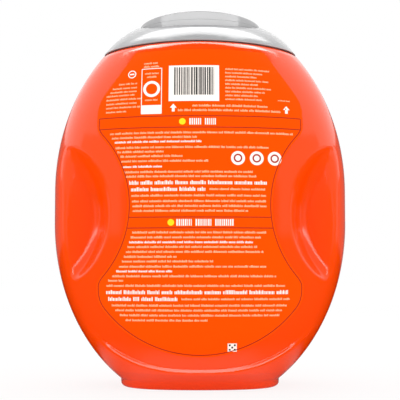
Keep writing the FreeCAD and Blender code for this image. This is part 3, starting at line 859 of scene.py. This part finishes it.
def carve(piece, cutter):
    """Takes the cutter out of the piece, and keeps the result as the piece's own mesh."""
    mod = piece.modifiers.new("carve", "BOOLEAN")
    mod.operation = "DIFFERENCE"
    mod.solver = "EXACT"
    mod.object = cutter
    ready = piece.evaluated_get(bpy.context.evaluated_depsgraph_get())
    mesh = bpy.data.meshes.new_from_object(ready)
    piece.modifiers.remove(mod)
    piece.data = mesh
    mesh.set_sharp_from_angle(angle=math.radians(SHARP_ANGLE))
    bpy.data.objects.remove(cutter)


def box_piece(name, low, high, material, turn):
    """A box between two corners, turned about the tub's axis."""
    verts = [(x, y, z) for x in (low[0], high[0]) for y in (low[1], high[1])
             for z in (low[2], high[2])]
    c, s = math.cos(turn), math.sin(turn)
    verts = [(x * c - y * s, x * s + y * c, z) for x, y, z in verts]
    faces = [(0, 1, 3, 2), (4, 6, 7, 5), (0, 4, 5, 1), (2, 3, 7, 6), (0, 2, 6, 4), (1, 5, 7, 3)]
    return new_object(name, verts, faces, material)


def skirt_rings():
    """The snap skirt that hangs inside the collar, round the tub's neck."""
    turn = np.linspace(0, 2 * math.pi, COLUMNS // 2, endpoint=False)
    low, top = SHOULDER_HEIGHT + SKIRT_LIFT, SHOULDER_HEIGHT + NECK_HEIGHT + COLLAR_WALL
    inner, outer = SKIRT_GAP, SKIRT_GAP + SKIRT_WALL
    return [plain_ring(NECK_WIDTH / 2 + grow, NECK_DEPTH / 2 + grow, RIM_SQUARE, z, turn)
            for grow, z in ((inner, low), (inner, top), (outer, top), (outer, low))]


# The turret's wall has a cove at its foot, and rings next to its edges keep its face flat
INNER_WALL = TURRET_RADIUS - TURRET_WALL
TURRET_PROFILE = (
    (TURRET_RADIUS + 0.8, WELL_FLOOR - TURRET_ROOT), (TURRET_RADIUS + 0.3, WELL_FLOOR + 0.25),
    (TURRET_RADIUS, WELL_FLOOR + 0.9), (TURRET_RADIUS, WELL_FLOOR + 1.2),
    (TURRET_RADIUS, TURRET_TOP - 0.06), (TURRET_RADIUS - 0.06, TURRET_TOP),
    (INNER_WALL + 0.3, TURRET_TOP), (INNER_WALL, TURRET_TOP - 0.3),
    (INNER_WALL, WELL_FLOOR - TURRET_ROOT))

collar = new_object("collar_shell", *ring_loop(collar_rings()), SILVER, smooth_angle=40)
skirt = new_object("collar_snap_skirt", *ring_loop(skirt_rings()), SILVER)
turret = new_object("collar_turret", *ring_loop(turned(TURRET_PROFILE)), LID_SILVER)
for side in (-1, 1):
    carve(turret, box_piece("window", (-WINDOW_HALF, TURRET_RADIUS - 4, WINDOW_SPAN[0]),
                            (WINDOW_HALF, TURRET_RADIUS + 2, WINDOW_SPAN[1]),
                            LID_SILVER, math.radians(-side * LATCH_TURN)))
for piece in (collar, skirt, turret):
    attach(piece, "tub")
    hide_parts("lid_collar")


# Lid

LID_TOP = 306.3
LID_GAP = 0.06
LID_SWEEP = 338.0
LID_PLATE = 2.0
LID_EDGE = 1.1
LID_EASE = 0.2
LID_RINGS = (4, 12, 20, 28, 36, 43, 48)
LID_MIDDLE = 20
PLUG_RADIUS = 42.0
PLUG_WALL = 1.6
PLUG_LOW = 294.4
TAB_HALF = 17.0
TAB_OUT = 6.5
TAB_ROOT = 1.6
TAB_CORNER = 4.0
TAB_THICK = 2.0
TAB_EASE = 0.35


def lid_height(y):
    """The lid's top, which sweeps up a little towards the hinge."""
    rear = np.minimum(y, 0)
    return LID_TOP + LID_SWEEP - np.sqrt(LID_SWEEP ** 2 - rear ** 2)


def lid_rings():
    """Rings from the middle of the lid's top, over its edge, to its underside and plug."""
    angle = np.linspace(0, 2 * math.pi, COLUMNS, endpoint=False)

    def cap(radius, drop):
        """A ring that follows the lid's top at a distance below it."""
        y = radius * np.sin(angle)
        return np.column_stack([radius * np.cos(angle), y, lid_height(y) - drop])

    def level(radius, z):
        """A level ring."""
        ring = cap(radius, 0)
        ring[:, 2] = z
        return ring

    low = TURRET_TOP + LID_GAP
    rings = [cap(radius, 0) for radius in (*LID_RINGS, TURRET_RADIUS - LID_EDGE)]
    for bend in arc(4, 0, 90)[1:]:
        rings.append(cap(TURRET_RADIUS - LID_EDGE * (1 - math.sin(bend)),
                         LID_EDGE * (1 - math.cos(bend))))
    rings += [cap(TURRET_RADIUS, LID_EDGE + LID_EASE), level(TURRET_RADIUS, low + 0.06),
              level(TURRET_RADIUS - 0.06, low),
              level(INNER_WALL + LID_EASE, low), level(INNER_WALL, low + LID_EASE),
              cap(INNER_WALL, LID_PLATE), cap(PLUG_RADIUS, LID_PLATE),
              level(PLUG_RADIUS, PLUG_LOW + 0.6), level(PLUG_RADIUS - 0.5, PLUG_LOW),
              level(PLUG_RADIUS - PLUG_WALL, PLUG_LOW), cap(PLUG_RADIUS - PLUG_WALL, LID_PLATE),
              cap(LID_MIDDLE, LID_PLATE)]
    return rings


def thumb_tab():
    """The tab at the lid's front, its outer corners rounded and its edges eased."""
    reach = TURRET_RADIUS + TAB_OUT
    low, high = TURRET_TOP + LID_GAP, TURRET_TOP + LID_GAP + TAB_THICK

    def outline(inset):
        points = [(-TAB_HALF + inset, TURRET_RADIUS - TAB_ROOT)]
        for a in arc(6, 180, 90):
            points.append((-TAB_HALF + TAB_CORNER + (TAB_CORNER - inset) * math.cos(a),
                           reach - TAB_CORNER + (TAB_CORNER - inset) * math.sin(a)))
        points += [(-x, y) for x, y in points[::-1]]
        return np.array(points)

    rings = []
    for inset, z in ((TAB_EASE, low), (0, low + TAB_EASE), (0, high - TAB_EASE), (TAB_EASE, high)):
        points = outline(inset)
        rings.append(np.column_stack([points, np.full(len(points), z)]))
    return ring_solid(rings)


lid = new_object("lid_cap", *ring_solid(lid_rings()), LID_SILVER, smooth_angle=40)
tab = new_object("lid_thumb_tab", *thumb_tab(), LID_SILVER, smooth_angle=40)
for piece in (lid, tab):
    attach(piece, "lid")
    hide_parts("flip_lid")

for name in ("left_latch_button", "right_latch_button"):
    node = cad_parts[name]
    node.data.materials.clear()
    node.data.materials.append(LATCH_GREY)


# Studio cards, which only reflections see: lights, dark cloths and the room's wall

ROOM_RADIUS = 3.0
ROOM_MIDDLE = 0.15
WALL_RADIUS = 2.8
FRONT_HEIGHT = 1.19
STRIP_RADIUS = 2.6
FLAG_RADIUS = 0.42
# The wall's brightness by angle from the front, between two heights on the floor and above
WALL_CLOTHS = ((58, 84, 0.2, 0.9), (84, 110, 0.6, 0.9), (110, 130, 0.2, 0.55), (130, 170, 0.15, 0.85))


def card_material(name, level):
    """A studio card of even brightness."""
    material = bpy.data.materials.new(name)
    material.use_nodes = True
    nodes, links = material.node_tree.nodes, material.node_tree.links
    nodes.remove(nodes["Principled BSDF"])
    glow = nodes.new("ShaderNodeEmission")
    glow.inputs["Color"].default_value = (1, 1, 1, 1)
    glow.inputs["Strength"].default_value = level
    links.new(glow.outputs["Emission"], nodes["Material Output"].inputs["Surface"])
    material.cycles.emission_sampling = "NONE"
    return material


DARK = card_material("dark_cloth", 0.0)
GREY = card_material("grey_cloth", 0.45)
BACK_BOX = card_material("back_box_light", 1.3)
STRIP = card_material("strip_light", 6.0)
SOFT_BOX = card_material("soft_box_light", 8.5)


def card(name, verts, faces, material):
    """A card that only reflections see, from points in metres."""
    piece = new_object(name, np.array(verts) / MM, faces, material)
    piece.visible_camera = False
    piece.visible_diffuse = False
    piece.visible_shadow = False
    piece.visible_transmission = False


def room_card(name, low, high, sides_low, sides_high, material):
    """A card on the room's round wall between two rises from the front, which may pass
    overhead, and between two sideways angles at its lower and upper edge, in degrees."""
    verts, faces = [], []
    rows, columns = 10, 16
    for r in range(rows + 1):
        share = r / rows
        rise = math.radians(low + (high - low) * share)
        start = math.radians(sides_low[0] + (sides_high[0] - sides_low[0]) * share)
        end = math.radians(sides_low[1] + (sides_high[1] - sides_low[1]) * share)
        for c in range(columns + 1):
            side = start + (end - start) * c / columns
            verts.append((ROOM_RADIUS * math.sin(side),
                          -ROOM_RADIUS * math.cos(side) * math.cos(rise),
                          ROOM_MIDDLE + ROOM_RADIUS * math.cos(side) * math.sin(rise)))
    for r in range(rows):
        for c in range(columns):
            a = r * (columns + 1) + c
            faces.append((a, a + 1, a + columns + 2, a + columns + 1))
    card(name, verts, faces, material)


def band_card(name, radius, low, high, sides, material):
    """A card bent round the tub's axis between two heights, in metres, and two angles from
    the front, in degrees."""
    verts, faces = [], []
    turns = [math.radians(a) for a in spaced(sides[0], sides[1], 5)]
    for turn in turns:
        for height in (low, high):
            verts.append((radius * math.sin(turn), -radius * math.cos(turn), height))
    for i in range(len(turns) - 1):
        faces.append((2 * i, 2 * i + 2, 2 * i + 3, 2 * i + 1))
    card(name, verts, faces, material)


def both(side, near, far):
    """The run between two angles, on the left (side -1) or the right (side 1)."""
    return sorted((side * near, side * far))


band_card("strip_front", STRIP_RADIUS, 0.55, 1.35, (-78, 78), STRIP)
band_card("dark_front_low", WALL_RADIUS, 0, FRONT_HEIGHT, (-36, 36), DARK)
room_card("dark_front_high", 20, 84, (-56, 56), (-40, 40), DARK)
room_card("soft_box", 84, 120, (-28, 28), (-34, 34), SOFT_BOX)
room_card("back_box", 120, 155, (-28, 28), (-24, 24), BACK_BOX)
for side in (-1, 1):
    room_card(f"dark_corner_{side + 1}", 84, 104, both(side, 28, 40), both(side, 31.3, 37), DARK)
    band_card(f"grey_{side + 1}", WALL_RADIUS, 0, FRONT_HEIGHT, both(side, 36, 58), GREY)
    band_card(f"flag_{side + 1}", FLAG_RADIUS, 0.2, 0.365, both(side, 30, 86), GREY)
    for start, end, level, height in WALL_CLOTHS:
        name = f"cloth_{start}_{side + 1}"
        band_card(name, WALL_RADIUS, 0, height, both(side, start, end), card_material(name, level))


def table_material():
    """The table as reflections see it, as a painted reflection: pale in front of the foot, with a
    painted shadow of the tub below it, and dark further out.
    Distances are in lengths of the foot's own radius, and those across the tub in metres."""
    material = card_material("table_shade", 0.0)
    tree = material.node_tree
    place = tree.nodes.new("ShaderNodeNewGeometry")
    oval = tree.nodes.new("ShaderNodeVectorMath")
    oval.operation = "MULTIPLY"
    oval.inputs[1].default_value = (2 / (FOOT_WIDTH * MM), 2 / (FOOT_DEPTH * MM), 0)
    reach = tree.nodes.new("ShaderNodeVectorMath")
    reach.operation = "LENGTH"
    apart = tree.nodes.new("ShaderNodeSeparateXYZ")
    tree.links.new(place.outputs["Position"], oval.inputs[0])
    tree.links.new(oval.outputs["Vector"], reach.inputs[0])
    tree.links.new(place.outputs["Position"], apart.inputs["Vector"])
    across = computed(tree, "ABSOLUTE", apart.outputs["X"])
    # painted shadow: the reflected table is darkened under the tub, where the tub's shadow falls
    under = mapped(tree, reach.outputs["Value"], (1.0, 1.5), (0.3, 1.0))
    near = mapped(tree, reach.outputs["Value"], (1.55, 2.2), (1.0, 0.0))
    # painted reflection: the reflected table is brightest straight in front of the foot and dimmer to
    # the sides
    front = mapped(tree, across, (0.045, 0.08), (0.7, 0.25))
    shade = computed(tree, "MULTIPLY", under, near)
    level = computed(tree, "MULTIPLY", shade, front)
    tree.links.new(level, tree.nodes["Emission"].inputs["Strength"])
    return material


TABLE_REACH, TABLE_LIFT = 3, 0.001
card("table_shade", [(x * TABLE_REACH, y * TABLE_REACH, TABLE_LIFT)
                     for x, y in ((-1, -1), (1, -1), (1, 1), (-1, 1))],
     [(0, 1, 2, 3)], table_material())


# Floor, lamp and world

FLOOR_SIZE = 30
FLOOR_GREY = 0.86
FLOOR_SEEN = 0.85
FLOOR_LIFT = 0.2


def floor_material():
    """A white floor that keeps a soft shadow, and fades to the white behind it. A little light
    of its own, which only diffuse rays see, fills the object's underside."""
    material = bpy.data.materials.new("floor_white")
    material.use_nodes = True
    tree = material.node_tree
    nodes, links = tree.nodes, tree.links
    shader = nodes["Principled BSDF"]
    shader.inputs["Base Color"].default_value = (FLOOR_GREY, FLOOR_GREY, FLOOR_GREY, 1)
    shader.inputs["Roughness"].default_value = 0.9
    shader.inputs["Specular IOR Level"].default_value = 0.1
    rays = nodes.new("ShaderNodeLightPath")
    glow = nodes.new("ShaderNodeEmission")
    glow.inputs["Color"].default_value = (1, 1, 1, 1)
    glow.inputs["Strength"].default_value = 1.0
    lift = nodes.new("ShaderNodeEmission")
    lifted = nodes.new("ShaderNodeAddShader")
    blend = nodes.new("ShaderNodeMixShader")
    links.new(computed(tree, "MULTIPLY", rays.outputs["Is Diffuse Ray"], FLOOR_LIFT),
              lift.inputs["Strength"])
    links.new(shader.outputs["BSDF"], lifted.inputs[0])
    links.new(lift.outputs["Emission"], lifted.inputs[1])
    links.new(computed(tree, "MULTIPLY", rays.outputs["Is Camera Ray"], FLOOR_SEEN),
              blend.inputs["Fac"])
    links.new(lifted.outputs["Shader"], blend.inputs[1])
    links.new(glow.outputs["Emission"], blend.inputs[2])
    links.new(blend.outputs["Shader"], nodes["Material Output"].inputs["Surface"])
    material.cycles.emission_sampling = "NONE"
    return material


bpy.ops.mesh.primitive_plane_add(size=FLOOR_SIZE)
floor = bpy.context.active_object
floor.name = "floor"
floor.data.materials.append(floor_material())


def lamp(name, spot, aim, size, power):
    """A rectangular soft lamp, in metres and watts."""
    light = bpy.data.lights.new(name, "AREA")
    light.shape = "RECTANGLE"
    light.size, light.size_y = size
    light.energy = power
    piece = bpy.data.objects.new(name, light)
    bpy.context.scene.collection.objects.link(piece)
    piece.location = spot
    piece.rotation_euler = (Vector(aim) - Vector(spot)).to_track_quat("-Z", "Y").to_euler()


lamp("top_lamp", (0, 0.7, 1.7), (0, 0, 0.2), (1.4, 0.5), 3)

# Camera, mirror and clear rays see plain white, and the rest of the light is a little stronger
WORLD_SEEN, WORLD_LIGHT = 1.0, 1.2
world = bpy.data.worlds.new("white_room")
bpy.context.scene.world = world
world.use_nodes = True
world.cycles.sampling_method = "NONE"
tree = world.node_tree
rays = tree.nodes.new("ShaderNodeLightPath")
seen = computed(tree, "MAXIMUM", rays.outputs["Is Camera Ray"], rays.outputs["Is Glossy Ray"])
clear = computed(tree, "MAXIMUM", seen, rays.outputs["Is Transmission Ray"])
sky = tree.nodes["Background"]
sky.inputs["Color"].default_value = (1, 1, 1, 1)
tree.links.new(mapped(tree, clear, (0.0, 1.0), (WORLD_LIGHT, WORLD_SEEN), "LINEAR"),
               sky.inputs["Strength"])

bpy.context.scene.view_settings.view_transform = "Standard"


# Camera, at the photograph's place and angle

CAMERA_DISTANCE = 970.0
CAMERA_HEIGHT = 89.5
AIM_HEIGHT = 157.3
LENS = 101.76
camera = bpy.data.objects.new("camera", bpy.data.cameras.new("camera"))
bpy.context.scene.collection.objects.link(camera)
bpy.context.scene.camera = camera
camera.data.lens = LENS
camera.data.sensor_width = 36.0
camera.location = (0, -CAMERA_DISTANCE * MM, CAMERA_HEIGHT * MM)
pitch = math.atan2(AIM_HEIGHT - CAMERA_HEIGHT, CAMERA_DISTANCE)
camera.rotation_euler = (math.pi / 2 + pitch, 0, 0)
